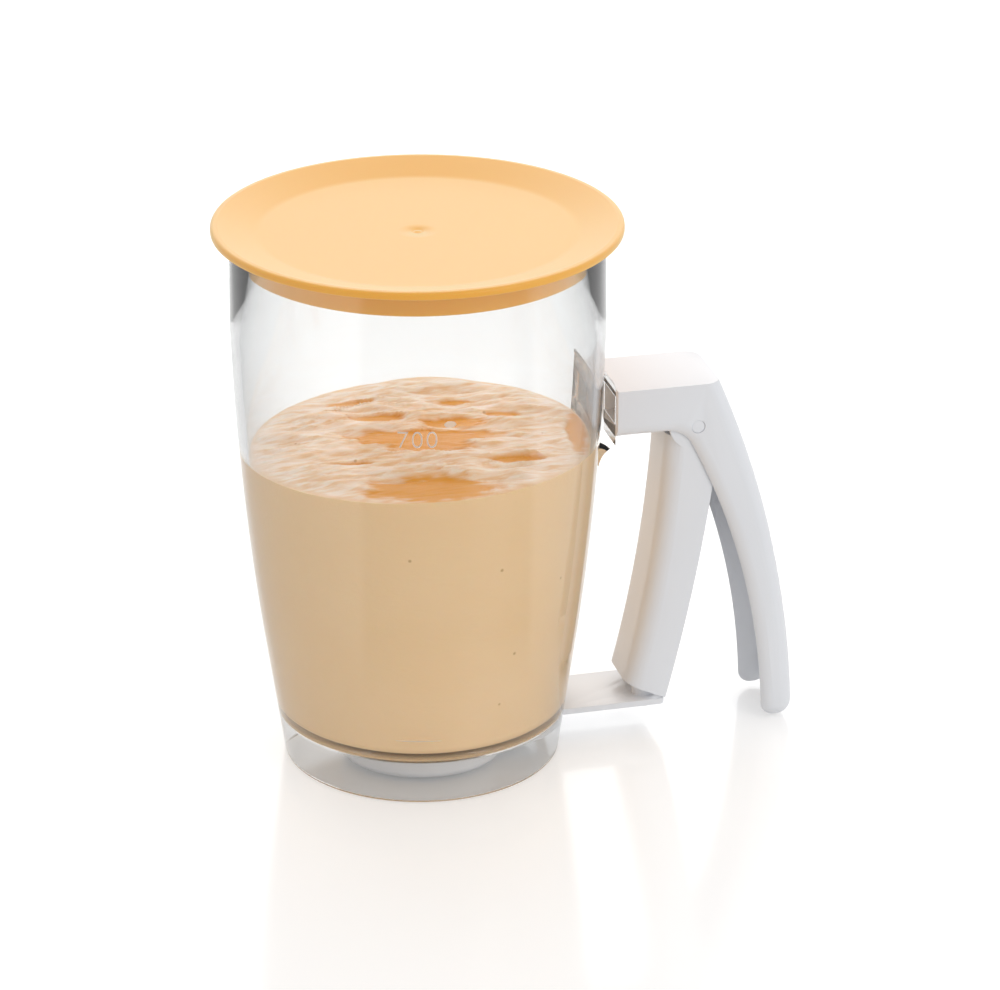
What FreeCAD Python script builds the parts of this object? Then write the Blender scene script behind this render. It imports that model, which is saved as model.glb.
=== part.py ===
import FreeCAD, Part
import math
import os
import re

import Sketcher
from FreeCAD import Vector

# A batter dispenser: a clear vessel on a hollow foot, a lift-off lid, a white handle in two halves and a
# sprung lever whose cup and seal close the outlet under the floor. Millimetres, Z up. The origin is on the
# vessel's axis at table level and the handle points along +X.

doc = FreeCAD.newDocument("batter_dispenser")
sheet = doc.addObject("Spreadsheet::Sheet", "Sizes")

SIZES = [
    # Vessel
    ("foot_radius", 40.95),
    ("flare_radius", 46.8),
    ("flare_height", 40.8),
    ("shoulder_radius", 54.15),
    ("mouth_radius", 53.7),
    ("vessel_height", 161.95),
    ("shoulder_drop", 25.95),
    ("side_bend", 850),
    ("wall_gauge", 2.5),
    ("foot_gauge", 2.8),
    ("floor_height", 16.5),
    ("floor_fall", 3),
    ("floor_gauge", 2.2),
    ("floor_round", 2.5),
    ("outlet_radius", 8),
    ("collar_gauge", 2.2),
    ("collar_base", 10.5),
    ("collar_lift", 0.2),
    ("rim_round", 0.6),
    # Bracket that carries the handle
    ("bracket_half", 11),
    ("bracket_base", 94.2),
    ("bracket_drop", 6),
    ("bracket_bend", 7.2),
    ("bracket_shoulder", 111),
    ("bracket_rise", 5.6),
    ("bracket_inset", 3),
    ("tongue_length", 14),
    ("tongue_gap", 2.2),
    ("tongue_skin", 1),
    ("socket_gap", 0.2),
    # Handle
    ("handle_gap", 2.05),
    ("handle_half", 13.5),
    ("handle_top", 112),
    ("arm_under", 96.8),
    ("web_lift", 2),
    ("web_gauge", 2),
    ("end_gauge", 1.5),
    ("handle_wall", 2),
    ("top_gauge", 2.4),
    ("back_gauge", 2.2),
    ("back_bend", 303.4),
    ("back_reach", 244.45),
    ("back_centre_z", -9.5),
    ("inside_bend", 208.7),
    ("inside_reach", 160.75),
    ("inside_centre_z", -3.6),
    ("inside_round", 8),
    ("toe_height", 0.4),
    ("toe_round", 4.9),
    ("back_round", 4.5),
    ("back_rise", 2.2),
    ("rib_gauge", 1.8),
    ("rib_half", 4),
    ("rib_depth", 5),
    ("rib_gap", 0.1),
    # Pivot
    ("pivot_reach", 26.55),
    ("pivot_z", 98.7),
    ("pin_radius", 2),
    ("pin_gap", 0.05),
    ("pin_recess", 0.2),
    # Trigger
    ("trigger_gap", 0.5),
    ("trigger_wall", 2),
    ("front_bend", 402),
    ("front_reach", 383.35),
    ("front_centre_z", 113.8),
    ("rear_bend", 572.9),
    ("rear_reach", 535.75),
    ("rear_centre_z", 155.3),
    ("front_round", 5.5),
    ("front_toe", 15.8),
    ("trigger_top", 95),
    ("ear_radius", 8),
    ("post_radius", 3.4),
    ("post_reach", 13.25),
    ("post_offset", 4.7),
    ("post_rise", 16),
    ("pilot_depth", 13),
    # Lever arm
    ("arm_half", 11.1),
    ("arm_reach", 18.45),
    ("arm_top", 10.3),
    ("arm_gauge", 1.8),
    ("step_start", 1.15),
    ("step_length", 6.8),
    ("arm_step_drop", 3.6),
    ("disc_gap", 0.7),
    ("disc_lift", 0.1),
    ("strip_lap", 6),
    ("pedestal_radius", 10.5),
    ("pedestal_top", 7.6),
    ("slot_gap", 1.5),
    # Drip cup and seal
    ("cup_radius", 23),
    ("cup_base", 0.8),
    ("cup_top", 9.6),
    ("cup_wall", 1.7),
    ("cup_floor", 1.2),
    ("cup_round", 2.4),
    ("seal_radius", 12.3),
    ("seal_gauge", 2.8),
    ("seal_gap", 0.05),
    ("stem_radius", 2.5),
    ("stem_length", 3),
    # Lid
    ("lid_overhang", 5.3),
    ("crest_rise", 3.25),
    ("edge_rise", 0.95),
    ("edge_face", 0.3),
    ("edge_width", 0.8),
    ("seat_gap", 0.05),
    ("seat_width", 0.6),
    ("lid_gauge", 2),
    ("dish_inset", 7.7),
    ("dish_rise", 0.25),
    ("dish_fall", 0.3),
    ("dish_step", 0.4),
    ("dish_lap", 1),
    ("crest_width", 1.8),
    ("plug_gap", 0.25),
    ("plug_depth", 6.45),
    ("plug_gauge", 2),
    ("crest_round", 1.1),
    # Screws
    ("screw_radius", 1.55),
    ("screw_gap", 0.05),
    ("head_radius", 3),
    ("head_height", 1.8),
    ("screw_length", 9),
    ("first_screw", 4.8),
    ("screw_pitch", 6.3),
    ("cross_width", 0.8),
    ("cross_span", 3),
    ("cross_depth", 0.8),
    # Torsion spring
    ("wire_radius", 0.5),
    ("coil_radius", 3),
    ("coil_pitch", 1.45),
    ("spring_leg", 10.3),
    ("spring_tail", 12.875),
]

# Places and sizes that follow from the ones in the sheet, so that pieces that meet move together.
FOLLOWING = {
    "shoulder_height": "vessel_height - shoulder_drop",
    "handle_start": "shoulder_radius + handle_gap",
    "tongue_half": "handle_half - handle_wall - tongue_gap",
    "back_centre_x": "shoulder_radius - back_reach",
    "inside_centre_x": "shoulder_radius - inside_reach",
    "pivot_x": "shoulder_radius + pivot_reach",
    "trigger_half": "handle_half - handle_wall - trigger_gap",
    "front_centre_x": "shoulder_radius - front_reach",
    "rear_centre_x": "shoulder_radius - rear_reach",
    "post_x": "shoulder_radius + post_reach",
    "arm_end": "shoulder_radius + arm_reach",
    "arm_step_out": "foot_radius - step_start",
    "arm_step_in": "foot_radius - step_start - step_length",
    "disc_radius": "cup_radius - cup_wall - disc_gap",
    "lid_radius": "mouth_radius + lid_overhang",
    "lid_crest": "vessel_height + crest_rise",
    "lid_edge": "vessel_height + edge_rise",
    "lid_seat": "vessel_height + seat_gap",
    "dish_radius": "mouth_radius - dish_inset",
    "dish_height": "vessel_height + dish_rise",
    "plug_base": "vessel_height - plug_depth",
}
for row, (alias, number) in enumerate(SIZES, start=1):
    sheet.set("A%d" % row, alias.replace("_", " "))
    sheet.set("B%d" % row, str(number))
    sheet.setAlias("B%d" % row, alias)
workings = doc.addObject("Spreadsheet::Sheet", "Workings")
doc.recompute()


def from_sheet(formula):
    """A formula with the sheet's name before each alias, and following values written out."""
    for name, rule in FOLLOWING.items():
        formula = re.sub(r"\b%s\b" % name, "(" + rule + ")", formula)
    return re.sub(r"\b([a-z]+_[a-z_]+)\b", r"Sizes.\1", formula)


def value(formula):
    """The number that a formula of the sheet's aliases comes to."""
    workings.set("A1", "=" + from_sheet(formula))
    workings.recompute()
    return float(workings.get("A1"))


def bind(thing, path, formula):
    """Ties one property of an object to a formula of the sheet's aliases."""
    thing.setExpression(path, from_sheet(formula))


def new_body(name):
    body = doc.addObject("PartDesign::Body", name)
    body.Label = name
    return body


def arc_middle(start, finish, radius, side):
    """The middle of the arc from start to finish that bulges to the left or the right."""
    chord = finish - start
    normal = Vector(-chord.y, chord.x, 0).normalize()
    if side == "right":
        normal = normal * -1
    bulge = radius - (radius**2 - chord.Length**2 / 4) ** 0.5
    return (start + finish) * 0.5 + normal * bulge


def outline(body, name, plane, corners, arcs=None):
    """A closed sketch on a plane of the body, through corners given as pairs of formulas.

    arcs gives a side's number its bulge and its radius; the other sides are straight."""
    arcs = arcs or {}
    sketch = body.newObject("Sketcher::SketchObject", name)
    base = [item for item in body.Origin.OriginFeatures if item.Role == plane][0]
    sketch.AttachmentSupport = [(base, "")]
    sketch.MapMode = "FlatFace"
    places = [Vector(value(across), value(up), 0) for across, up in corners]
    ends = []
    for side, start in enumerate(places):
        finish = places[(side + 1) % len(places)]
        if side in arcs:
            bulge, radius = arcs[side]
            middle = arc_middle(start, finish, value(radius), bulge)
            sketch.addGeometry(Part.Arc(start, middle, finish))
        else:
            sketch.addGeometry(Part.LineSegment(start, finish))
        near_start = (sketch.getPoint(side, 1) - start).Length < (sketch.getPoint(side, 2) - start).Length
        ends.append((1, 2) if near_start else (2, 1))
    for side in range(len(places)):
        follower = (side + 1) % len(places)
        joint = Sketcher.Constraint("Coincident", side, ends[side][1], follower, ends[follower][0])
        sketch.addConstraint(joint)
    for side, corner in enumerate(corners):
        point = (side, ends[side][0])
        for kind, axis, formula in (("DistanceX", -2, corner[0]), ("DistanceY", -1, corner[1])):
            if formula == "0":
                sketch.addConstraint(Sketcher.Constraint("PointOnObject", *point, axis))
                continue
            number = sketch.addConstraint(Sketcher.Constraint(kind, -1, 1, *point, value(formula)))
            bind(sketch, "Constraints[%d]" % number, formula)
    for side, (bulge, radius) in arcs.items():
        number = sketch.addConstraint(Sketcher.Constraint("Radius", side, value(radius)))
        bind(sketch, "Constraints[%d]" % number, radius)
    return sketch


def rectangle(body, name, plane, low, high):
    """A sketched rectangle between two corners given as formulas."""
    corners = [low, (high[0], low[1]), high, (low[0], high[1])]
    return outline(body, name, plane, corners)


def circle(body, name, plane, centre, radius):
    """A sketched circle; centre and radius are formulas."""
    sketch = body.newObject("Sketcher::SketchObject", name)
    base = [item for item in body.Origin.OriginFeatures if item.Role == plane][0]
    sketch.AttachmentSupport = [(base, "")]
    sketch.MapMode = "FlatFace"
    spot = Vector(value(centre[0]), value(centre[1]), 0)
    sketch.addGeometry(Part.Circle(spot, Vector(0, 0, 1), value(radius)))
    for kind, axis, formula in (("DistanceX", -2, centre[0]), ("DistanceY", -1, centre[1])):
        if formula == "0":
            sketch.addConstraint(Sketcher.Constraint("PointOnObject", 0, 3, axis))
            continue
        number = sketch.addConstraint(Sketcher.Constraint(kind, -1, 1, 0, 3, value(formula)))
        bind(sketch, "Constraints[%d]" % number, formula)
    number = sketch.addConstraint(Sketcher.Constraint("Radius", 0, value(radius)))
    bind(sketch, "Constraints[%d]" % number, radius)
    return sketch


def turn(body, kind, sketch):
    """A Revolution or Groove of a sketch about the vessel's axis."""
    feature = body.newObject("PartDesign::" + kind, sketch.Name + "_turned")
    feature.Profile = sketch
    feature.ReferenceAxis = (sketch, ["V_Axis"])
    feature.Angle = 360
    body.Tip = feature
    doc.recompute()
    return feature


def extrude(body, kind, sketch, length, centred=True, reverse=False):
    """A Pad or Pocket of a sketch, half to each side or all to one."""
    feature = body.newObject("PartDesign::" + kind, sketch.Name + "_extruded")
    feature.Profile = sketch
    feature.SideType = "Symmetric" if centred else "One side"
    feature.Reversed = reverse
    bind(feature, "Length", length)
    body.Tip = feature
    doc.recompute()
    return feature


def fillet(body, base, radius, wanted):
    """Rounds the edges of a feature for which wanted(edge) is true."""
    names = ["Edge%d" % n for n, edge in enumerate(base.Shape.Edges, start=1) if wanted(edge)]
    feature = body.newObject("PartDesign::Fillet", base.Name + "_round")
    feature.Base = (base, names)
    bind(feature, "Radius", radius)
    body.Tip = feature
    doc.recompute()
    return feature


def ring_at(radius, height):
    """Picks circular edges about the axis by radius and height."""
    def wanted(edge):
        box = edge.BoundBox
        flat = box.ZLength < 0.01 and abs(box.ZMin - height) < 0.02
        return flat and abs(box.XMax - radius) < 0.05 and box.XLength > radius
    return wanted


FLARE = "(flare_radius - foot_radius) / flare_height"
HANDLE_SCREWS = ("handle_start + first_screw", "handle_start + first_screw + screw_pitch")


def vessel():
    """Clear moulding: flared wall, shallow funnel floor with outlet collar, hollow foot and handle bracket."""
    body = new_body("vessel")
    outside = outline(body, "vessel_outside", "XZ_Plane", [
        ("0", "0"),
        ("foot_radius", "0"),
        ("flare_radius", "flare_height"),
        ("shoulder_radius", "shoulder_height"),
        ("mouth_radius", "vessel_height"),
        ("0", "vessel_height"),
    ], {2: ("right", "side_bend")})
    turn(body, "Revolution", outside)
    root = "flare_radius - wall_gauge"
    shoulder = "(bracket_inset^2 + bracket_rise^2) / (2 * bracket_inset)"
    bracket = outline(body, "bracket_side", "XZ_Plane", [
        (root, "bracket_base - bracket_drop"),
        ("shoulder_radius - bracket_inset", "bracket_base - bracket_drop"),
        ("handle_start", "bracket_base"),
        ("handle_start", "bracket_shoulder"),
        ("handle_start - bracket_inset", "bracket_shoulder + bracket_rise"),
        (root, "bracket_shoulder + bracket_rise"),
    ], {1: ("left", "bracket_bend"), 3: ("right", shoulder)})
    extrude(body, "Pad", bracket, "2 * bracket_half")
    tongue = rectangle(
        body, "tongue_side", "XZ_Plane",
        (root, "arm_under + web_lift + web_gauge + socket_gap"),
        ("handle_start + tongue_length", "handle_top - top_gauge - socket_gap"),
    )
    extrude(body, "Pad", tongue, "2 * tongue_half")
    cavity = outline(body, "vessel_inside", "XZ_Plane", [
        ("0", "floor_height - floor_fall"),
        ("outlet_radius", "floor_height - floor_fall"),
        ("foot_radius + floor_height * " + FLARE + " - wall_gauge", "floor_height"),
        ("flare_radius - wall_gauge", "flare_height"),
        ("shoulder_radius - wall_gauge", "shoulder_height"),
        ("mouth_radius - wall_gauge", "vessel_height"),
        ("0", "vessel_height"),
    ], {3: ("right", "side_bend - wall_gauge")})
    hollow = turn(body, "Groove", cavity)
    inner = value("foot_radius + floor_height * " + FLARE + " - wall_gauge")
    fillet(body, hollow, "floor_round", ring_at(inner, value("floor_height")))
    foot = outline(body, "foot_inside", "XZ_Plane", [
        ("0", "0"),
        ("foot_radius - foot_gauge", "0"),
        ("foot_radius + (floor_height - floor_gauge) * " + FLARE + " - foot_gauge", "floor_height - floor_gauge"),
        ("outlet_radius + collar_gauge", "floor_height - floor_fall - floor_gauge + collar_lift"),
        ("outlet_radius + collar_gauge", "collar_base"),
        ("0", "collar_base"),
    ])
    turn(body, "Groove", foot)
    outlet = rectangle(body, "outlet_bore", "XZ_Plane", ("0", "collar_base - 1"), ("outlet_radius", "floor_height"))
    turn(body, "Groove", outlet)
    slot = rectangle(
        body, "arm_slot", "XY_Plane",
        ("foot_radius - 4 * foot_gauge", "-arm_half - slot_gap"),
        ("foot_radius + 4 * foot_gauge", "arm_half + slot_gap"),
    )
    opened = extrude(body, "Pocket", slot, "arm_top + slot_gap / 2", centred=False, reverse=True)
    for number, shift in enumerate(HANDLE_SCREWS):
        pilot = circle(body, "pilot_%d" % number, "XY_Plane", (shift, "0"), "screw_radius + screw_gap")
        hole = extrude(body, "Pocket", pilot, "handle_top - top_gauge - socket_gap - tongue_skin", centred=False, reverse=True)
    height = value("vessel_height")
    rims = (ring_at(value("mouth_radius"), height), ring_at(value("mouth_radius - wall_gauge"), height))
    fillet(body, hole, "rim_round", lambda edge: any(rim(edge) for rim in rims))
    return body


def handle_frame():
    """White channel moulding: box arm, bow and toe, open towards the vessel."""
    body = new_body("handle_frame")
    toe_in = "inside_centre_x + sqrt(inside_bend^2 - (toe_height - inside_centre_z)^2)"
    toe_out = "back_centre_x + sqrt(back_bend^2 - (toe_height - back_centre_z)^2)"
    bend = "inside_centre_x + sqrt(inside_bend^2 - (arm_under - inside_centre_z)^2)"
    crown = "back_centre_x + sqrt(back_bend^2 - (handle_top - back_centre_z)^2)"
    side = outline(body, "frame_side", "XZ_Plane", [
        ("handle_start", "arm_under"),
        (bend, "arm_under"),
        (toe_in, "toe_height"),
        (toe_out, "toe_height"),
        (crown, "handle_top"),
        ("handle_start", "handle_top"),
    ], {1: ("left", "inside_bend"), 3: ("right", "back_bend")})
    block = extrude(body, "Pad", side, "2 * handle_half")

    def across(x, height):
        def wanted(edge):
            box = edge.BoundBox
            middle = edge.CenterOfMass
            return box.YLength > 5 and abs(middle.x - x) < 0.1 and abs(middle.z - height) < 0.1
        return wanted

    toes = (across(value(toe_in), value("toe_height")), across(value(toe_out), value("toe_height")))
    rounded = fillet(body, block, "toe_round", lambda edge: any(toe(edge) for toe in toes))
    rounded = fillet(body, rounded, "inside_round", across(value(bend), value("arm_under")))
    half = value("handle_half")
    back_middle = value("(handle_top + toe_height) / 2")

    def back_edge(edge):
        box = edge.BoundBox
        middle = edge.CenterOfMass
        tall = box.ZLength > back_middle
        return box.YLength < 0.01 and abs(abs(middle.y) - half) < 0.01 and tall and box.XMax > value(toe_out) - 3
    rounded = fillet(body, rounded, "back_round", back_edge)
    inner = "back_bend - back_gauge"
    at_top = "back_centre_x + sqrt((" + inner + ")^2 - (handle_top - top_gauge - back_centre_z)^2)"
    at_toe = "back_centre_x + sqrt((" + inner + ")^2 - (back_rise - back_centre_z)^2)"
    web_end = "handle_start + tongue_length + socket_gap"
    hollow = outline(body, "frame_hollow", "XZ_Plane", [
        ("handle_start - 5", "arm_under + web_lift + web_gauge"),
        (web_end, "arm_under + web_lift + web_gauge"),
        (web_end, "arm_under - 5"),
        (toe_in + " - 12", "-5"),
        (toe_out + " + 5", "-5"),
        (toe_out + " + 5", "back_rise"),
        (at_toe, "back_rise"),
        (at_top, "handle_top - top_gauge"),
        ("handle_start - 5", "handle_top - top_gauge"),
    ], {6: ("right", inner)})
    extrude(body, "Pocket", hollow, "2 * (handle_half - handle_wall)")
    under = rectangle(
        body, "frame_under", "XZ_Plane",
        ("handle_start + end_gauge", "arm_under - 1"),
        (web_end, "arm_under + web_lift"),
    )
    extrude(body, "Pocket", under, "2 * (handle_half - handle_wall)")
    pin = circle(body, "pin_bore", "XZ_Plane", ("pivot_x", "pivot_z"), "pin_radius + pin_gap")
    extrude(body, "Pocket", pin, "4 * handle_half")
    rib_face = "pivot_x - coil_radius - wire_radius - rib_gap"
    rib = rectangle(
        body, "spring_rib", "XZ_Plane",
        (rib_face + " - rib_gauge", "handle_top - top_gauge - rib_depth"),
        (rib_face, "handle_top - 1"),
    )
    made = extrude(body, "Pad", rib, "2 * rib_half")
    for number, shift in enumerate(HANDLE_SCREWS):
        bore = circle(body, "web_bore_%d" % number, "XY_Plane", (shift, "0"), "screw_radius + screw_gap")
        depth = "arm_under + web_lift + web_gauge + 1"
        made = extrude(body, "Pocket", bore, depth, centred=False, reverse=True)
    return body


def trigger():
    """White channel moulding squeezed by the fingers; two ears turn on the pin, two posts take the arm."""
    body = new_body("trigger")
    front = "front_centre_x + sqrt(front_bend^2 - (%s - front_centre_z)^2)"
    rear = "rear_centre_x + sqrt(rear_bend^2 - (%s - rear_centre_z)^2)"
    side = outline(body, "trigger_side", "XZ_Plane", [
        (front % "front_toe", "front_toe"),
        (rear % "(arm_top + socket_gap)", "arm_top + socket_gap"),
        (rear % "trigger_top", "trigger_top"),
        (front % "trigger_top", "trigger_top"),
    ], {1: ("right", "rear_bend"), 3: ("left", "front_bend")})
    block = extrude(body, "Pad", side, "2 * trigger_half")
    half = value("trigger_half")
    limit = value((front % "trigger_top") + " + 0.5")

    def front_edge(edge):
        box = edge.BoundBox
        tall = box.ZLength > value("trigger_top - front_toe") - 1
        return tall and abs(abs(edge.CenterOfMass.y) - half) < 0.01 and box.XMax < limit
    fillet(body, block, "front_round", front_edge)
    ears = circle(body, "ears", "XZ_Plane", ("pivot_x", "pivot_z"), "ear_radius")
    extrude(body, "Pad", ears, "2 * trigger_half")
    inner = "front_centre_x + sqrt((front_bend + trigger_wall)^2 - (%s - front_centre_z)^2)"
    hollow = outline(body, "trigger_hollow", "XZ_Plane", [
        (inner % "0", "0"),
        ("arm_end + 20", "0"),
        ("pivot_x + 20", "handle_top + 5"),
        (inner % "trigger_top" + " - 3", "handle_top + 5"),
        (inner % "trigger_top" + " - 3", "trigger_top"),
        (inner % "trigger_top", "trigger_top"),
    ], {5: ("left", "front_bend + trigger_wall")})
    cut = extrude(body, "Pocket", hollow, "2 * (trigger_half - trigger_wall)")
    inside = value("trigger_half - trigger_wall")

    def inner_edge(edge):
        box = edge.BoundBox
        on_side = abs(abs(edge.CenterOfMass.y) - inside) < 0.01 and box.YLength < 0.01
        return on_side and box.ZLength > 60 and box.XMax < limit + 3
    fillet(body, cut, "front_round - trigger_wall", inner_edge)
    for spot, sign in (("near", "-"), ("far", "")):
        place = ("post_x", sign + "post_offset")
        post = circle(body, "post_" + spot, "XY_Plane", place, "post_radius")
        lift = extrude(body, "Pad", post, "arm_top + post_rise", centred=False)
    below = rectangle(
        body, "below_posts", "XZ_Plane",
        ("post_x - 2 * post_radius", "-1"),
        ("post_x + 2 * post_radius", "arm_top"),
    )
    extrude(body, "Pocket", below, "4 * trigger_half")
    for spot, sign in (("near", "-"), ("far", "")):
        place = ("post_x", sign + "post_offset")
        pilot = circle(body, "post_pilot_" + spot, "XY_Plane", place, "screw_radius + screw_gap")
        extrude(body, "Pocket", pilot, "arm_top + pilot_depth", centred=False, reverse=True)
    pin = circle(body, "trigger_bore", "XZ_Plane", ("pivot_x", "pivot_z"), "pin_radius + pin_gap")
    extrude(body, "Pocket", pin, "4 * trigger_half")
    return body


def valve_arm():
    """White lever arm: a flat strip that steps down through the slot to a disc with the seal's pedestal."""
    body = new_body("valve_arm")
    low = "arm_top - arm_step_drop"
    disc_top = "cup_base + cup_floor + arm_gauge + disc_lift"
    side = outline(body, "arm_side", "XZ_Plane", [
        ("disc_radius - strip_lap", disc_top + " - arm_gauge"),
        ("arm_step_in", low + " - arm_gauge"),
        ("arm_step_out", "arm_top - arm_gauge"),
        ("arm_end", "arm_top - arm_gauge"),
        ("arm_end", "arm_top"),
        ("arm_step_out - 1", "arm_top"),
        ("arm_step_in - 1", low),
        ("disc_radius - strip_lap", disc_top),
    ])
    extrude(body, "Pad", side, "2 * arm_half")
    disc = outline(body, "arm_disc", "XZ_Plane", [
        ("0", disc_top + " - arm_gauge"),
        ("disc_radius", disc_top + " - arm_gauge"),
        ("disc_radius", disc_top),
        ("pedestal_radius", disc_top),
        ("pedestal_radius", "pedestal_top"),
        ("0", "pedestal_top"),
    ])
    turn(body, "Revolution", disc)
    hole = circle(body, "stem_bore", "XY_Plane", ("0", "0"), "stem_radius + socket_gap / 2")
    extrude(body, "Pocket", hole, "pedestal_top + 1", centred=False, reverse=True)
    for spot, sign in (("near", "-"), ("far", "")):
        place = ("post_x", sign + "post_offset")
        bore = circle(body, "arm_bore_" + spot, "XY_Plane", place, "screw_radius + screw_gap")
        made = extrude(body, "Pocket", bore, "arm_top + 1", centred=False, reverse=True)
    far_end = value("arm_end")

    def end_corner(edge):
        box = edge.BoundBox
        return box.ZLength > 1 and box.YLength < 0.01 and abs(edge.CenterOfMass.x - far_end) < 0.01
    fillet(body, made, "arm_gauge", end_corner)
    return body


def drip_cup():
    """White cup under the arm's disc, notched for the arm."""
    body = new_body("drip_cup")
    profile = outline(body, "cup_profile", "XZ_Plane", [
        ("0", "cup_base"),
        ("cup_radius", "cup_base"),
        ("cup_radius", "cup_top"),
        ("cup_radius - cup_wall", "cup_top"),
        ("cup_radius - cup_wall", "cup_base + cup_floor"),
        ("0", "cup_base + cup_floor"),
    ])
    turned = turn(body, "Revolution", profile)
    fillet(body, turned, "cup_round", ring_at(value("cup_radius"), value("cup_base")))
    notch = rectangle(
        body, "arm_notch", "YZ_Plane",
        ("-arm_half - socket_gap", "cup_base + cup_floor"),
        ("arm_half + socket_gap", "cup_top + 1"),
    )
    extrude(body, "Pocket", notch, "cup_radius + 1", centred=False, reverse=True)
    return body


def valve_seal():
    """Silicone disc that closes the outlet collar, held by its stem in the pedestal."""
    body = new_body("valve_seal")
    top = "collar_base - seal_gap"
    profile = outline(body, "seal_profile", "XZ_Plane", [
        ("0", "pedestal_top - stem_length"),
        ("stem_radius", "pedestal_top - stem_length"),
        ("stem_radius", "pedestal_top + seal_gap"),
        ("seal_radius", "pedestal_top + seal_gap"),
        ("seal_radius", top),
        ("0", top),
    ])
    turn(body, "Revolution", profile)
    return body


def lid():
    """Orange lift-off lid: dished top, rounded rim and a plug ring inside the mouth."""
    body = new_body("lid")
    plug = "mouth_radius - wall_gauge - plug_gap"
    profile = outline(body, "lid_profile", "XZ_Plane", [
        ("0", "dish_height - dish_fall"),
        ("dish_radius", "dish_height"),
        ("lid_radius - crest_width", "lid_crest"),
        ("lid_radius", "lid_crest"),
        ("lid_radius", "lid_edge + edge_face"),
        ("lid_radius - edge_width", "lid_edge"),
        ("mouth_radius + seat_width", "lid_seat"),
        (plug, "lid_seat"),
        (plug, "plug_base"),
        (plug + " - plug_gauge", "plug_base"),
        (plug + " - plug_gauge", "dish_height - lid_gauge + dish_step"),
        ("dish_radius - dish_lap", "dish_height - lid_gauge"),
        ("0", "dish_height - dish_fall - lid_gauge"),
    ])
    turned = turn(body, "Revolution", profile)
    fillet(body, turned, "crest_round", ring_at(value("lid_radius"), value("lid_crest")))
    return body


def pivot_pin():
    """Plain white pin through the handle's walls and the trigger's ears."""
    body = new_body("pivot_pin")
    section = circle(body, "pin_section", "XZ_Plane", ("pivot_x", "pivot_z"), "pin_radius")
    extrude(body, "Pad", section, "2 * (handle_half - pin_recess)")
    return body


def screws(name, places, seat, shank):
    """Pan head screws driven upwards, heads below the seat height."""
    parts = []
    for number, (across, along) in enumerate(places):
        pieces = []
        for kind, radius, base, tall in (
            ("head", "head_radius", seat + " - head_height", "head_height"),
            ("shank", "screw_radius", seat, shank),
        ):
            cylinder = doc.addObject("Part::Cylinder", "%s_%s_%d" % (name, kind, number))
            bind(cylinder, "Radius", radius)
            bind(cylinder, "Height", tall)
            bind(cylinder, "Placement.Base.x", across)
            bind(cylinder, "Placement.Base.y", along)
            bind(cylinder, "Placement.Base.z", base)
            pieces.append(cylinder)
        blank = doc.addObject("Part::Fuse", "%s_blank_%d" % (name, number))
        blank.Base, blank.Tool = pieces
        for turned, (wide, deep) in enumerate((("cross_span", "cross_width"), ("cross_width", "cross_span"))):
            groove = doc.addObject("Part::Box", "%s_cross_%d_%d" % (name, number, turned))
            bind(groove, "Length", wide)
            bind(groove, "Width", deep)
            bind(groove, "Height", "cross_depth")
            bind(groove, "Placement.Base.x", across + " - " + wide + " / 2")
            bind(groove, "Placement.Base.y", along + " - " + deep + " / 2")
            bind(groove, "Placement.Base.z", seat + " - head_height")
            cut = doc.addObject("Part::Cut", "%s_cut_%d_%d" % (name, number, turned))
            cut.Base, cut.Tool = blank, groove
            blank = cut
        parts.append(blank)
    group = doc.addObject("Part::Compound", name)
    group.Links = parts
    group.Label = name
    return group


def return_spring():
    """Torsion spring on the pin: half turns of wire, each tilted by half a pitch, between two straight legs."""
    coil = value("coil_radius")
    rise = value("coil_pitch / 2")
    leg = value("spring_leg")
    tail = value("spring_tail")
    half_turns = 8
    centre = Vector(value("pivot_x"), -rise * half_turns / 2, value("pivot_z"))
    edges = []
    start = centre + Vector(-coil, 0, 0)
    edges.append(Part.LineSegment(start - Vector(0, 0, tail), start).toShape())
    for number in range(half_turns):
        way = 1 if number % 2 == 0 else -1
        finish = centre + Vector(coil * way, rise * (number + 1), 0)
        middle = (start + finish) * 0.5
        top = middle + Vector(0, 0, way * (finish - start).Length / 2)
        edges.append(Part.Arc(start, top, finish).toShape())
        start = finish
    edges.append(Part.LineSegment(start, start + Vector(0, 0, leg)).toShape())
    path = Part.Wire(edges)
    wire = value("wire_radius")
    first = edges[0].Vertexes[0].Point
    section = Part.Wire([Part.Circle(first, Vector(0, 0, 1), wire).toShape()])
    spring = doc.addObject("Part::Feature", "return_spring")
    spring.Label = "return_spring"
    spring.Shape = path.makePipeShell([section], True, False)
    expected = math.pi * wire**2 * path.Length
    print("spring volume", round(spring.Shape.Volume, 3), "expected", round(expected, 3))
    print("least gap between turns", round(rise * 2 - 2 * wire, 3))
    return spring


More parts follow.
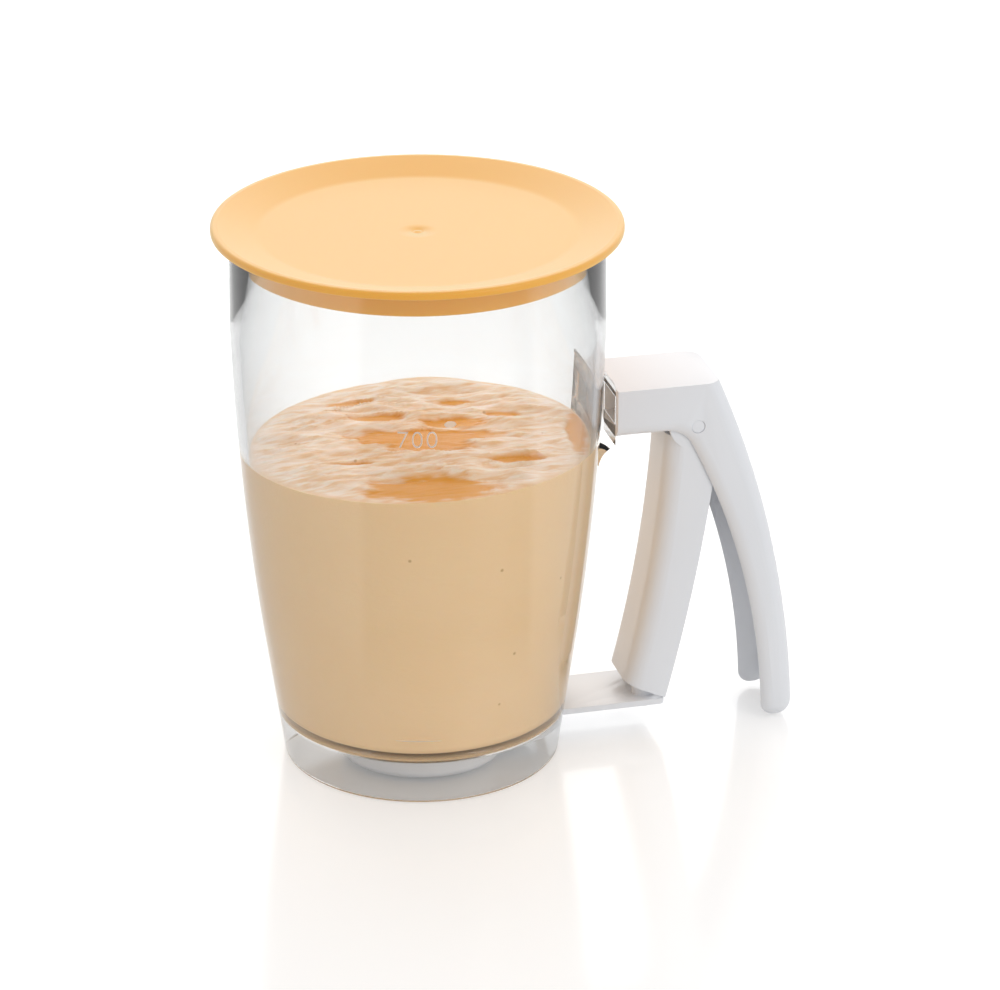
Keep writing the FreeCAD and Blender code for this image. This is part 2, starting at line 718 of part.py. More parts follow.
def main():
    frame_spots = [(shift, "0") for shift in HANDLE_SCREWS]
    pieces = [
        vessel(),
        lid(),
        handle_frame(),
        trigger(),
        valve_arm(),
        drip_cup(),
        valve_seal(),
        pivot_pin(),
        screws("handle_screws", frame_spots, "arm_under + web_lift", "screw_length"),
        screws(
            "lever_screws", [("post_x", "-post_offset"), ("post_x", "post_offset")],
            "arm_top - arm_gauge", "screw_length",
        ),
        return_spring(),
    ]
    doc.recompute()
    for thing in doc.Objects:
        if "Invalid" in thing.State or "Error" in thing.State:
            raise RuntimeError("not built: " + thing.Name)
    for piece in pieces:
        if piece.Shape.isNull() or not piece.Shape.isValid():
            raise RuntimeError("bad shape: " + piece.Label)
    os.makedirs("parts", exist_ok=True)
    for piece in pieces:
        piece.Shape.exportStep(os.path.join("parts", piece.Label + ".step"))
        box = piece.Shape.BoundBox
        print("%-14s %2d solids %10.1f mm3  x %.1f %.1f  y %.1f %.1f  z %.1f %.1f" % (
            piece.Label, len(piece.Shape.Solids), piece.Shape.Volume,
            box.XMin, box.XMax, box.YMin, box.YMax, box.ZMin, box.ZMax,
        ))


main()
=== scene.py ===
import math

import bmesh
import bpy
from mathutils import Matrix, Vector, noise


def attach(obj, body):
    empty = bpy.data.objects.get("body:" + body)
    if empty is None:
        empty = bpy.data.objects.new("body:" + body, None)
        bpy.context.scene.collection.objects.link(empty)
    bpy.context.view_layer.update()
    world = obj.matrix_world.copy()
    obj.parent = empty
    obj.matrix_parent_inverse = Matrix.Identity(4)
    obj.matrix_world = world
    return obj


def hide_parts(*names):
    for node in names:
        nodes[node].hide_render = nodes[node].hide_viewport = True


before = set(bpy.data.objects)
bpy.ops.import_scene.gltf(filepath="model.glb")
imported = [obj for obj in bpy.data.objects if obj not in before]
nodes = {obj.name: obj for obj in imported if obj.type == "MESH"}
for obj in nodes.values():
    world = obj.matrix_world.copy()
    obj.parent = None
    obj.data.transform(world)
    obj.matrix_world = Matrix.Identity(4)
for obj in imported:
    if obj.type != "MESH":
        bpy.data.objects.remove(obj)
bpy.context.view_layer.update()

# Camera
# A long lens a little over a metre away, above and to the left of the front, with the handle to the right.
# Its place was solved from the round edges of the lid, the foot and the batter.
lens = bpy.data.cameras.new("camera")
lens.sensor_width = 36
lens.lens = 149.63
lens.clip_start, lens.clip_end = 0.05, 20
camera = bpy.data.objects.new("camera", lens)
camera.location = (-0.25096, -1.08704, 0.56485)
line_of_sight = Vector((0.22505, 0.88904, -0.39869))
camera.rotation_euler = line_of_sight.to_track_quat("-Z", "Y").to_euler()
bpy.context.scene.collection.objects.link(camera)
bpy.context.scene.camera = camera
bpy.context.scene.view_settings.view_transform = "Standard"


# Floor and studio light
# A plain white table under a soft white room. One big soft box stands behind and above, so flat plastic and wet
# batter shine, and a smaller one fills in from the front right. The room is dark in a wedge in front of the table,
# in mirrored and clear plastic only, which gives the clear jug its grey edges and makes it look smoked from behind.
def linear(colour):
    """An sRGB hex colour as linear red, green, blue and alpha."""
    parts = [int(colour[at:at + 2], 16) / 255 for at in (1, 3, 5)]
    return [c / 12.92 if c <= 0.04045 else ((c + 0.055) / 1.055) ** 2.4 for c in parts] + [1]


def add_node(tree, kind, inputs=None, **settings):
    """Adds a node with its settings; an input is a value or the output that feeds it."""
    made = tree.nodes.new(kind)
    for name, value in settings.items():
        setattr(made, name, value)
    for name, value in (inputs or {}).items():
        if isinstance(value, bpy.types.NodeSocket):
            tree.links.new(value, made.inputs[name])
        else:
            made.inputs[name].default_value = value
    return made


def new_material(name):
    """An empty node material and its output node."""
    material = bpy.data.materials.new(name)
    material.use_nodes = True
    material.node_tree.nodes.clear()
    return material, add_node(material.node_tree, "ShaderNodeOutputMaterial")


def seen_directly(tree):
    """1 where the backdrop is seen straight, mirrored or through plastic, 0 for light that dull surfaces gather."""
    path = add_node(tree, "ShaderNodeLightPath").outputs
    some = add_node(
        tree, "ShaderNodeMath", {0: path["Is Camera Ray"], 1: path["Is Glossy Ray"]}, operation="MAXIMUM")
    any_of = add_node(
        tree, "ShaderNodeMath", {0: some.outputs[0], 1: path["Is Transmission Ray"]}, operation="MAXIMUM")
    first = add_node(tree, "ShaderNodeMath", {0: path["Diffuse Depth"], 1: 0.5}, operation="LESS_THAN")
    both = add_node(tree, "ShaderNodeMath", {0: any_of.outputs[0], 1: first.outputs[0]}, operation="MULTIPLY")
    return both.outputs[0]


def dark_side(tree, place):
    """How bright the studio is at a place or in a direction: dim within about 50 degrees each side of the front."""
    level = add_node(tree, "ShaderNodeVectorMath", {0: place, 1: (1, 1, 0)}, operation="MULTIPLY")
    way = add_node(tree, "ShaderNodeVectorMath", {0: level.outputs[0]}, operation="NORMALIZE")
    straight_ahead = (0.087, -0.996, 0)
    front = add_node(tree, "ShaderNodeVectorMath", {0: way.outputs[0], 1: straight_ahead}, operation="DOT_PRODUCT")
    return add_node(tree, "ShaderNodeMapRange", {
        "Value": front.outputs["Value"], "From Min": 0.58, "From Max": 0.66, "To Min": 0.95, "To Max": 0.42,
    })


world = bpy.data.worlds.new("white_room")
world.use_nodes = True
tree = world.node_tree
tree.nodes.clear()
towards = add_node(tree, "ShaderNodeTexCoord")
falloff = dark_side(tree, towards.outputs["Generated"])
path = add_node(tree, "ShaderNodeLightPath")
plain = add_node(tree, "ShaderNodeMix", {
    "Factor": path.outputs["Is Camera Ray"], 2: falloff.outputs["Result"], 3: 1.0,
})
backdrop = add_node(tree, "ShaderNodeBackground", {"Color": (1, 1, 1, 1), "Strength": plain.outputs[0]})
room = add_node(tree, "ShaderNodeBackground", {"Color": (1, 1, 1, 1), "Strength": 0.7})
either = add_node(tree, "ShaderNodeMixShader", {0: seen_directly(tree), 1: room.outputs[0], 2: backdrop.outputs[0]})
add_node(tree, "ShaderNodeOutputWorld", {"Surface": either.outputs[0]})
bpy.context.scene.world = world

# Satin white board that mirrors faintly. Distances are in metres from the jug's axis: the dark wedge starts about
# 0.1 out, and the board is painted a third darker under the foot, in place of the shadow that the jug doesn't cast.
table_top, out = new_material("white_table")
tree = table_top.node_tree
path = add_node(tree, "ShaderNodeLightPath")
where = add_node(tree, "ShaderNodeTexCoord").outputs["Object"]
through = add_node(
    tree, "ShaderNodeMath", {0: seen_directly(tree), 1: path.outputs["Is Camera Ray"]}, operation="SUBTRACT")
reach = add_node(tree, "ShaderNodeVectorMath", {0: where}, operation="LENGTH")
beyond = add_node(tree, "ShaderNodeMapRange", {"Value": reach.outputs["Value"], "From Min": 0.08, "From Max": 0.12})
dim = add_node(tree, "ShaderNodeMath", {0: through.outputs[0], 1: beyond.outputs[0]}, operation="MULTIPLY")
shaded = add_node(tree, "ShaderNodeMapRange", {
    "Value": reach.outputs["Value"], "From Min": 0.036, "From Max": 0.042, "To Min": 0.65,
})
lit = add_node(tree, "ShaderNodeMix", {
    "Factor": dim.outputs[0], 2: shaded.outputs[0], 3: dark_side(tree, where).outputs[0],
})
white = add_node(tree, "ShaderNodeVectorMath", {0: linear("#E6E6E6")[:3], "Scale": lit.outputs[0]}, operation="SCALE")
part = add_node(tree, "ShaderNodeMapRange", {"Value": path.outputs["Is Camera Ray"], "To Min": 0.2, "To Max": 0.32})
glow = add_node(tree, "ShaderNodeMix", {"Factor": seen_directly(tree), 2: 0.12, 3: part.outputs[0]})
glow = add_node(tree, "ShaderNodeMath", {0: glow.outputs[0], 1: lit.outputs[0]}, operation="MULTIPLY")
surface = add_node(tree, "ShaderNodeBsdfPrincipled", {
    "Base Color": white.outputs[0], "Roughness": 0.13, "Specular IOR Level": 0.35,
    "Emission Color": (1, 1, 1, 1), "Emission Strength": glow.outputs[0],
})
tree.links.new(surface.outputs[0], out.inputs[0])
half_side = 6
flat = bpy.data.meshes.new("table_top")
rim = [(across * half_side, along * half_side, 0) for across, along in ((-1, -1), (1, -1), (1, 1), (-1, 1))]
flat.from_pydata(rim, [], [(0, 1, 2, 3)])
flat.materials.append(table_top)
table = bpy.data.objects.new("table_top", flat)
table.location.z = -0.0002
bpy.context.scene.collection.objects.link(table)

for name, place, size, watts in (
    ("soft_box_behind", (0.36, 1.2, 0.85), (1.8, 1.2), 9),
    ("soft_box_front_right", (0.75, -1.1, 0.8), (0.7, 0.9), 4.5),
):
    lamp = bpy.data.lights.new(name, "AREA")
    lamp.shape = "RECTANGLE"
    lamp.size, lamp.size_y = size
    lamp.energy = watts
    soft_box = bpy.data.objects.new(name, lamp)
    soft_box.location = place
    soft_box.rotation_euler = (Vector((0.02, 0, 0.09)) - Vector(place)).to_track_quat("-Z", "Y").to_euler()
    soft_box.visible_camera = False
    bpy.context.scene.collection.objects.link(soft_box)


# Vessel
# A flared jug in one clear moulding: thin side, shallow funnel floor with an outlet collar, hollow foot with
# a slot for the lever arm, and a bracket whose tongue goes into the handle. Styrene-acrylonitrile (SAN), polished.
def new_piece(name, shape, materials):
    """Turns a bmesh into an object at the origin, with smooth faces and crisp edges over 35 degrees."""
    mesh = bpy.data.meshes.new(name)
    shape.to_mesh(mesh)
    shape.free()
    for material in materials:
        mesh.materials.append(material)
    mesh.shade_smooth()
    mesh.set_sharp_from_angle(angle=math.radians(35))
    piece = bpy.data.objects.new(name, mesh)
    bpy.context.scene.collection.objects.link(piece)
    return piece


def bend(start, finish, radius, count=16):
    """Points on an arc in mm; a positive radius bulges to the right of the way from start to finish."""
    start, finish = Vector(start), Vector(finish)
    chord = finish - start
    side = Vector((chord.y, -chord.x)).normalized() * math.copysign(1, radius)
    centre = (start + finish) / 2 - side * math.sqrt(radius**2 - chord.length_squared / 4)
    sweep = 2 * math.asin(chord.length / 2 / abs(radius)) * math.copysign(1, radius)
    spoke = start - centre
    turns = [Matrix.Rotation(sweep * step / count, 2) @ spoke + centre for step in range(count + 1)]
    return [(point.x, point.y, 0) for point in turns]


def eased(corners, steps=6):
    """Corners as (across, up, radius) in mm, each radius made an arc that meets both its sides."""
    points = []
    for at, (across, up, radius) in enumerate(corners):
        here = Vector((across, up))
        if not radius:
            points.append((across, up))
            continue
        before = (Vector(corners[at - 1][:2]) - here).normalized()
        after = (Vector(corners[(at + 1) % len(corners)][:2]) - here).normalized()
        half = before.angle(after) / 2
        centre = here + (before + after).normalized() * radius / math.sin(half)
        first, last = (here + way * radius / math.tan(half) - centre for way in (before, after))
        span = math.pi - 2 * half
        for step in range(steps + 1):
            share = step / steps
            spoke = (first * math.sin((1 - share) * span) + last * math.sin(share * span)) / math.sin(span)
            points.append(tuple(centre + spoke))
    return points


def lathe(profile, steps=256):
    """A closed shape turned about the vessel's axis from points as (radius, height) in mm."""
    shape = bmesh.new()
    rings = []
    for radius, height in profile:
        count = steps if radius > 1e-6 else 1
        angles = [2 * math.pi * step / steps for step in range(count)]
        spots = [(radius * math.cos(a) / 1000, radius * math.sin(a) / 1000, height / 1000) for a in angles]
        rings.append([shape.verts.new(spot) for spot in spots])
    pairs = list(zip(rings, rings[1:]))
    if len(rings[0]) > 1:
        pairs.append((rings[-1], rings[0]))
    for one, two in pairs:
        for step in range(steps):
            after = step + 1
            corners = (one[step % len(one)], one[after % len(one)], two[after % len(two)], two[step % len(two)])
            shape.faces.new(list(dict.fromkeys(corners)))
    bmesh.ops.recalc_face_normals(shape, faces=shape.faces)
    return shape


def prism(outline, low, high):
    """An outline of (x, z) in mm, made solid from low to high along Y."""
    shape = bmesh.new()
    face = shape.faces.new([shape.verts.new((across / 1000, low / 1000, up / 1000)) for across, up in outline])
    grown = bmesh.ops.extrude_face_region(shape, geom=[face])["geom"]
    moved = [item for item in grown if isinstance(item, bmesh.types.BMVert)]
    bmesh.ops.translate(shape, verts=moved, vec=(0, (high - low) / 1000, 0))
    bmesh.ops.recalc_face_normals(shape, faces=shape.faces)
    return shape


def bake_modifiers(piece):
    """Replaces a piece's mesh by what its modifiers make of it."""
    made = bpy.data.meshes.new_from_object(piece.evaluated_get(bpy.context.evaluated_depsgraph_get()))
    piece.modifiers.clear()
    piece.data = made


def combine(piece, operation, shape):
    """Joins a shape to a piece or cuts it away."""
    tool = new_piece("tool", shape, [])
    change = piece.modifiers.new("combine", "BOOLEAN")
    change.operation = operation
    change.solver = "EXACT"
    change.object = tool
    bake_modifiers(piece)
    bpy.data.objects.remove(tool)


# Polished and colourless, with sharp reflections; the grey where the wall is seen edge on is painted shade. The
# bracket's share of dull white isn't in the real plastic. It is painted light, standing in for the light that the
# inside of the handle doesn't give here.
def clear_plastic(name, painted_white_share):
    """Clear SAN, with a share of dull white in its skin that is painted light."""
    material, out = new_material(name)
    tree = material.node_tree
    place = add_node(tree, "ShaderNodeTexCoord").outputs["Object"]
    flow = add_node(tree, "ShaderNodeTexNoise", {"Vector": place, "Scale": 45, "Detail": 1})
    ripple = add_node(tree, "ShaderNodeBump", {"Height": flow.outputs["Fac"], "Strength": 0.06, "Distance": 0.0004})
    facing = add_node(tree, "ShaderNodeLayerWeight", {"Blend": 0.5})
    edge = add_node(tree, "ShaderNodeMath", {0: facing.outputs["Facing"], 1: 2.0}, operation="POWER")
    # Painted shade: the skin turns grey where the wall is seen edge on.
    painted_edge_grey = add_node(tree, "ShaderNodeMix", {
        "Factor": edge.outputs[0], 6: linear("#FCFDFD"), 7: linear("#909294"),
    }, data_type="RGBA")
    glass = add_node(tree, "ShaderNodeBsdfPrincipled", {
        "Base Color": painted_edge_grey.outputs[2], "Roughness": 0.012, "IOR": 1.57, "Transmission Weight": 1 - painted_white_share,
        "Normal": ripple.outputs[0],
    })
    clear = add_node(tree, "ShaderNodeBsdfTransparent", {"Color": (1, 1, 1, 1)})
    light = add_node(tree, "ShaderNodeLightPath")
    mixed = add_node(tree, "ShaderNodeMixShader", {
        0: light.outputs["Is Shadow Ray"], 1: glass.outputs[0], 2: clear.outputs[0],
    })
    tree.links.new(mixed.outputs[0], out.inputs[0])
    return material


clear_san = clear_plastic("clear_polished_san", 0)
# The bracket's plastic has a share of dull white, which is painted light.
painted_light_san = clear_plastic("clear_san_painted_light", 0.45)

outside = [(40.95, 0, 0.6), *bend((46.8, 40.8), (54.15, 136), 850), (53.7, 161.95, 0.6)]
inside = [(51.2, 161.95, 0.6), *bend((51.65, 136), (44.3, 40.8), -847.5), (40.82, 16.5, 2.5)]
beneath = [(8, 13.5, 0), (8, 10.5, 0.3), (10.2, 10.5, 0.3), (10.2, 11.5, 0.6), (40.2, 14.3, 1.2), (38.15, 0, 0.5)]
jug = new_piece("jug", lathe(eased(outside + inside + beneath)), [clear_san, painted_light_san])
sweep_below = [p[:2] for p in bend((51.15, 88.2), (56.2, 94.2), -7.2, 8)]
sweep_above = [p[:2] for p in bend((56.2, 111), (53.2, 116.6), 6.73, 8)]
bracket_side = [(46, 88.2), *sweep_below, *sweep_above, (46, 116.6)]
bracket = new_piece("bracket", prism(bracket_side, -11, 11), [clear_san])
combine(bracket, "UNION", prism([(46, 101), (70.2, 101), (70.2, 109.4), (46, 109.4)], -9.3, 9.3))
core = [(0, 60, 0), (46.2, 60, 0), *bend((47.4, 60), (52.95, 136), 1050), (0, 136, 0)]
combine(bracket, "DIFFERENCE", lathe(eased(core)))
root = bmesh.new()
root.from_mesh(bracket.data)
bpy.data.objects.remove(bracket)
combine(jug, "UNION", root)
combine(jug, "DIFFERENCE", prism([(25, -2), (56, -2), (56, 11.05), (25, 11.05)], -12.6, 12.6))
jug.data.shade_smooth()
jug.data.set_sharp_from_angle(angle=math.radians(35))
widest_wall = 0.0545
# The bracket's faces, out beyond the widest wall, take the plastic with painted light.
for face in jug.data.polygons:
    if face.center.x > widest_wall:
        face.material_index = 1
# Dull surfaces gather their light as if the jug weren't there, and it casts no shadow. Real clear plastic does take
# and shade some light, but without this what is inside renders too dark.
jug.visible_diffuse = False
jug.visible_shadow = False
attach(jug, "root")
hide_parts("vessel")


# Graduation
# The plain number 700 for millilitres, a short line and a small gate mark, all raised a fifth of a millimetre
# on the jug's side in the same moulding and left slightly rough by the tool.
def wrap(mesh, angle, height, radius_at):
    """Lays a flat mesh drawn in mm onto the jug's side: X runs round, Y up and Z outwards."""
    for vertex in mesh.vertices:
        across, up, out_by = vertex.co
        level = height + up
        radius = radius_at(level)
        turn = math.radians(angle) + across / radius
        radius += out_by
        vertex.co = (radius * math.cos(turn) / 1000, radius * math.sin(turn) / 1000, level / 1000)


def outer_radius(level):
    """The jug's outer radius in mm at a height in mm."""
    if level < 40.8:
        return 40.95 + level * 5.85 / 40.8
    if level > 136:
        return 54.15 - (level - 136) * 0.45 / 25.95
    arc = bend((46.8, 40.8), (54.15, 136), 850, 40)
    below = max((p for p in arc if p[1] <= level + 1e-6), key=lambda p: p[1])
    above = min((p for p in arc if p[1] >= level - 1e-6), key=lambda p: p[1])
    share = (level - below[1]) / max(above[1] - below[1], 1e-6)
    return below[0] + (above[0] - below[0]) * min(max(share, 0), 1)


# The same clear plastic with the mould tool's fine dull grain, so the raised marks catch the light and read as white.
frosted_san, out = new_material("tooled_san")
tree = frosted_san.node_tree
place = add_node(tree, "ShaderNodeTexCoord").outputs["Object"]
grain = add_node(tree, "ShaderNodeTexNoise", {"Vector": place, "Scale": 4000})
rough = add_node(tree, "ShaderNodeMapRange", {"Value": grain.outputs["Fac"], "To Min": 0.25, "To Max": 0.45})
shader = add_node(tree, "ShaderNodeBsdfPrincipled", {
    "Base Color": linear("#FFFFFF"), "Roughness": rough.outputs[0], "IOR": 1.57, "Transmission Weight": 0.85,
})
tree.links.new(shader.outputs[0], out.inputs[0])

words = bpy.data.curves.new("number", "FONT")
words.body = "700"
words.size = 7.4
words.align_x, words.align_y = "CENTER", "CENTER"
words.space_character = 1.1
words.extrude = 0.2
words.offset = -0.12
words.resolution_u = 4
holder = bpy.data.objects.new("number", words)
bpy.context.scene.collection.objects.link(holder)
number = bpy.data.meshes.new_from_object(holder.evaluated_get(bpy.context.evaluated_depsgraph_get()))
bpy.data.objects.remove(holder)
number.materials.clear()
number.materials.append(frosted_san)
wrap(number, -103.6, 119.6, outer_radius)
mark = bpy.data.objects.new("number_700", number)
bpy.context.scene.collection.objects.link(mark)
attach(mark, "root")
mark_corners = 48
for name, angle, level, wide, tall in (
    ("gate_mark", -93.8, 124.2, 3.4, 2.0),
    ("lower_line", -104.2, 21.5, 13.6, 0.5),
):
    shape = bmesh.new()
    turns = [2 * math.pi * n / mark_corners for n in range(mark_corners)]
    ring = [shape.verts.new((wide / 2 * math.cos(t), tall / 2 * math.sin(t), -0.2)) for t in turns]
    face = shape.faces.new(ring)
    raised = bmesh.ops.inset_region(shape, faces=[face], thickness=0.18, depth=0.36)
    bmesh.ops.recalc_face_normals(shape, faces=shape.faces)
    raised = new_piece(name, shape, [frosted_san])
    wrap(raised.data, angle, level, outer_radius)
    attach(raised, "root")


# Batter
# Thick pancake batter stands in the jug to just under the mark. It wets the wall, its top has slumped in soft
# folds with smooth pools between them, painted golden with the orange light through the lid, and it fills the
# outlet down to the seal.
RIGHT, AWAY = Vector((0.9694, -0.2454)), Vector((0.2454, 0.9694))
POOLS = (
    (3.5, -40, 20, 10.5), (0, -1, 25, 6.5), (4, -8, 13, 7), (10.5, 10, 11, 4.6), (-12, 15.5, 9, 3), (24, 17, 6, 2.4),
    (-30, 20, 6, 2), (28, -19, 9, 2.5), (46, 2, 3.6, 17), (-20, -21, 7, 1.6), (12, 28, 7, 1.5), (-22, 30, 8, 2),
)


def pool_share(x, y):
    """How far a spot in mm lies in a smooth pool, from 0 on a fold to 1."""
    across, along = RIGHT.dot((x, y)), AWAY.dot((x, y))
    wobble = noise.noise((across * 0.11, along * 0.23, 3)) * 0.55 + noise.noise((across * 0.3, along * 0.75, 9)) * 0.4
    best = 0
    for middle_x, middle_y, wide, deep in POOLS:
        away = math.hypot((across - middle_x) / wide, (along - middle_y) / deep)
        best = max(best, 1.05 - away + wobble * 0.6)
    return min(max(best * 3.2, 0), 1)


def top_level(x, y):
    """The batter's height in mm at a spot in mm."""
    across, along = RIGHT.dot((x, y)), AWAY.dot((x, y))
    out = min(math.hypot(x, y) / 50.4, 1)
    level = 98 + 1.5 * across / 50 - 1.5 * along / 50 + 1.6 * (1 - out**2)
    fold = noise.noise((across * 0.05, along * 0.16, 1)) * 2.2
    crease = (1 - abs(noise.noise((across * 0.07 + 5, along * 0.26, 4))) * 2.4) * 0.9
    fine = noise.noise((across * 0.2, along * 0.8, 7)) * 0.35
    relief = (fold + crease + fine) * (1 - 0.85 * pool_share(x, y)) - 0.7 * pool_share(x, y)
    return level + relief * (1 - out**10) * 0.9


brim_radius, top_radius, side_base = 50.4, 50.2, 19
wall_less_wetting = 2.44
steps, depth, side_rings = 288, 70, 26
shape = bmesh.new()
# Where the smooth pools lie, for the painted orange light from the lid.
share_layer = shape.verts.layers.float.new("pool")
# How far in from the wall the painted highlights on the streaks reach.
highlight_reach_layer = shape.verts.layers.float.new("highlight_reach")
rings = []
sides = eased([(0, 10.5, 0), (8.03, 10.5, 0), (8.03, 13.47, 0), (40.88, 16.47, 2.5), (41.24, side_base, 0)])
for radius, level in sides + [(None, 0.04 + 0.96 * n / side_rings) for n in range(side_rings + 1)]:
    ring = []
    for step in range(steps if radius != 0 else 1):
        angle = 2 * math.pi * step / steps
        way = Vector((math.cos(angle), math.sin(angle)))
        if radius is None:
            brim = top_level(*(way * brim_radius))
            up = side_base + (brim - side_base) * level
            spot = way * (outer_radius(up) - wall_less_wetting)
        else:
            up, spot = level, way * radius
        ring.append(shape.verts.new((spot.x / 1000, spot.y / 1000, up / 1000)))
    rings.append(ring)
for n in range(1, depth + 1):
    ring = []
    for step in range(steps if n < depth else 1):
        angle = 2 * math.pi * step / steps
        spot = Vector((math.cos(angle), math.sin(angle))) * (top_radius * (1 - n / depth))
        vertex = shape.verts.new((spot.x / 1000, spot.y / 1000, top_level(*spot) / 1000))
        vertex[share_layer] = pool_share(*spot)
        vertex[highlight_reach_layer] = min(1, n / 4)
        ring.append(vertex)
    rings.append(ring)
for one, two in zip(rings, rings[1:]):
    for step in range(steps):
        after = step + 1
        corners = (one[step % len(one)], one[after % len(one)], two[after % len(two)], two[step % len(two)])
        shape.faces.new(list(dict.fromkeys(corners)))
bmesh.ops.recalc_face_normals(shape, faces=shape.faces)

# Creamy beige, a little translucent and wet, with fine streaks about 1 mm apart. The gold of the smooth pools is
# painted orange light from the lid, and the pale tips of the streaks are painted highlights.
wet_batter, out = new_material("pancake_batter")
tree = wet_batter.node_tree
place = add_node(tree, "ShaderNodeTexCoord").outputs["Object"]
pool = add_node(tree, "ShaderNodeAttribute", attribute_name="pool").outputs["Fac"]
turned = add_node(tree, "ShaderNodeMapping", {"Vector": place, "Rotation": (0, 0, 0.248), "Scale": (110, 620, 500)})
streaks = add_node(tree, "ShaderNodeTexNoise", {
    "Vector": turned.outputs[0], "Scale": 1, "Detail": 3, "Roughness": 0.6,
})
cloud = add_node(tree, "ShaderNodeTexNoise", {"Vector": place, "Scale": 28, "Detail": 2})
body_tone = add_node(tree, "ShaderNodeMix", {
    "Factor": cloud.outputs["Fac"], 6: linear("#F0CB9A"), 7: linear("#F3D2A6"),
}, data_type="RGBA")
highlight_reach = add_node(tree, "ShaderNodeAttribute", attribute_name="highlight_reach").outputs["Fac"]
# Painted highlights: the streaks turn almost white on the top, standing in for reflections of the white studio.
highlight_streaks = add_node(tree, "ShaderNodeMapRange", {"Value": streaks.outputs["Fac"], "From Min": 0.35, "From Max": 0.6})
painted_highlight = add_node(tree, "ShaderNodeMath", {0: highlight_reach, 1: highlight_streaks.outputs[0]}, operation="MULTIPLY")
highlighted_tone = add_node(tree, "ShaderNodeMix", {
    "Factor": painted_highlight.outputs[0], 6: body_tone.outputs[2], 7: linear("#FFF4E6"),
}, data_type="RGBA")
# Painted light: the smooth pools are painted golden, standing in for the orange light that comes through the lid.
tone = add_node(tree, "ShaderNodeMix", {"Factor": pool, 6: highlighted_tone.outputs[2], 7: linear("#EAA400")}, data_type="RGBA")
bubbles = add_node(tree, "ShaderNodeTexVoronoi", {"Vector": place, "Scale": 150, "Randomness": 1})
dots = add_node(tree, "ShaderNodeMapRange", {
    "Value": bubbles.outputs["Distance"], "From Min": 0.06, "From Max": 0.1, "To Min": 1, "To Max": 0,
})
few = add_node(tree, "ShaderNodeMath", {0: bubbles.outputs["Color"], 1: 0.72}, operation="GREATER_THAN")
spots = add_node(tree, "ShaderNodeMath", {0: dots.outputs[0], 1: few.outputs[0]}, operation="MULTIPLY")
shade = add_node(tree, "ShaderNodeMix", {
    "Factor": spots.outputs[0], 6: tone.outputs[2], 7: linear("#CDA878"),
}, data_type="RGBA")
relief = add_node(tree, "ShaderNodeBump", {"Height": streaks.outputs["Fac"], "Strength": 0.35, "Distance": 0.0006})
shader = add_node(tree, "ShaderNodeBsdfPrincipled", {
    "Base Color": shade.outputs[2], "Roughness": 0.3, "Specular IOR Level": 0.15, "Subsurface Weight": 0.25,
    "Subsurface Radius": (1.0, 0.6, 0.3), "Subsurface Scale": 0.004, "Normal": relief.outputs[0],
})
tree.links.new(shader.outputs[0], out.inputs[0])
batter = new_piece("batter", shape, [wet_batter])
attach(batter, "root")


# Lid
# A lift-off lid of satin orange polypropylene, moulded in one with a plug ring that drops into the jug's mouth.
# Its top is dished to a raised rim, with the small round gate mark left in the middle.
# Warm orange with a soft, even shine from a finely etched mould. The strong sheen isn't polypropylene's own: it is
# painted, standing in for the pale reflection of the soft box behind that the top shows when it is seen at a slant.
satin_orange, out = new_material("satin_orange_polypropylene")
tree = satin_orange.node_tree
place = add_node(tree, "ShaderNodeTexCoord").outputs["Object"]
cloud = add_node(tree, "ShaderNodeTexNoise", {"Vector": place, "Scale": 18, "Detail": 2})
tone = add_node(tree, "ShaderNodeMix", {
    "Factor": cloud.outputs["Fac"], 6: linear("#F2AE3C"), 7: linear("#F4B242"),
}, data_type="RGBA")
etch = add_node(tree, "ShaderNodeTexNoise", {"Vector": place, "Scale": 2600, "Detail": 2})
relief = add_node(tree, "ShaderNodeBump", {"Height": etch.outputs["Fac"], "Strength": 0.12, "Distance": 0.00008})
# Painted sheen: the strong pale sheen stands in for the reflection of the soft box behind.
shader = add_node(tree, "ShaderNodeBsdfPrincipled", {
    "Base Color": tone.outputs[2], "Roughness": 0.42, "IOR": 1.49,
    "Sheen Weight": 0.95, "Sheen Roughness": 0.5, "Sheen Tint": linear("#FFF6D4"),
    "Subsurface Weight": 0.3, "Subsurface Radius": (1.0, 0.5, 0.15), "Subsurface Scale": 0.004,
    "Normal": relief.outputs[0],
})
tree.links.new(shader.outputs[0], out.inputs[0])
dish = [(r, 161.9 + 0.3 * (r / 46)**2, 0) for r in (6, 12, 18, 24, 30, 36)]
lid_side = [
    (0, 161.98, 0), (0.7, 161.96, 0), (1.1, 161.74, 0), (1.7, 161.74, 0), (1.95, 161.91, 0),
    *dish, (46, 162.2, 9), (57, 165.2, 0.8), (59, 165.2, 1.1),
    (59, 163.2, 0.3), (58.2, 162.9, 0.3), (54.3, 162.05, 0.3), (50.95, 162.05, 0.3), (50.95, 155.5, 0.5),
    (48.95, 155.5, 0.5), (48.95, 160.6, 0.8), (45, 160.2, 0), (0, 159.9, 0),
]
cover = new_piece("lid_cover", lathe(eased(lid_side)), [satin_orange])
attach(cover, "lid")
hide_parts("lid")


